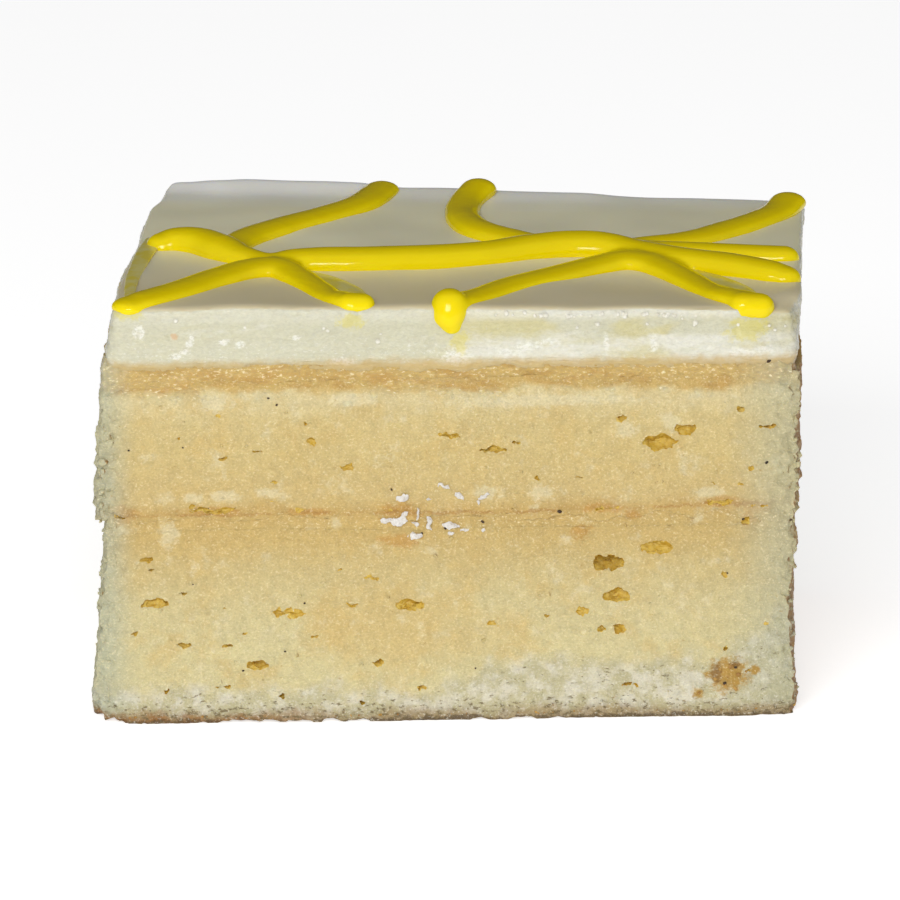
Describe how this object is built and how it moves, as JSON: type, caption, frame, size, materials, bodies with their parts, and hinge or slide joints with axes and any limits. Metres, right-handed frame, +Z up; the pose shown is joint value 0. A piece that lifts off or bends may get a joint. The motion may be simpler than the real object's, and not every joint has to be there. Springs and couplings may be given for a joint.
{
  "type": "lemon cake slice",
  "caption": "Rectangular cut slice of lemon layer cake: soaked lemon filling between sponges, lemon curd, white icing and a piped lemon icing lattice on top. It stands on its base.",
  "frame": {"origin": "under the middle of the slice, at the level it stands on", "axes": "+X along the wide cut face to the right, +Y from the cut face shown to the back, +Z up"},
  "size_m": [0.0954, 0.0642, 0.0598],
  "materials": {
    "lower_sponge": "open moist crumb",
    "lemon_filling": "soaked, half glossy",
    "upper_sponge": "open moist crumb",
    "lemon_curd": "wet amber gel",
    "icing": "glossy white icing with lemon yellow strands"
  },
  "bodies": {
    "root": {"lower_sponge": "lower_sponge", "lemon_filling": "lemon_filling", "upper_sponge": "upper_sponge", "lemon_curd": "lemon_curd", "icing": "icing"}
  },
  "joints": []
}
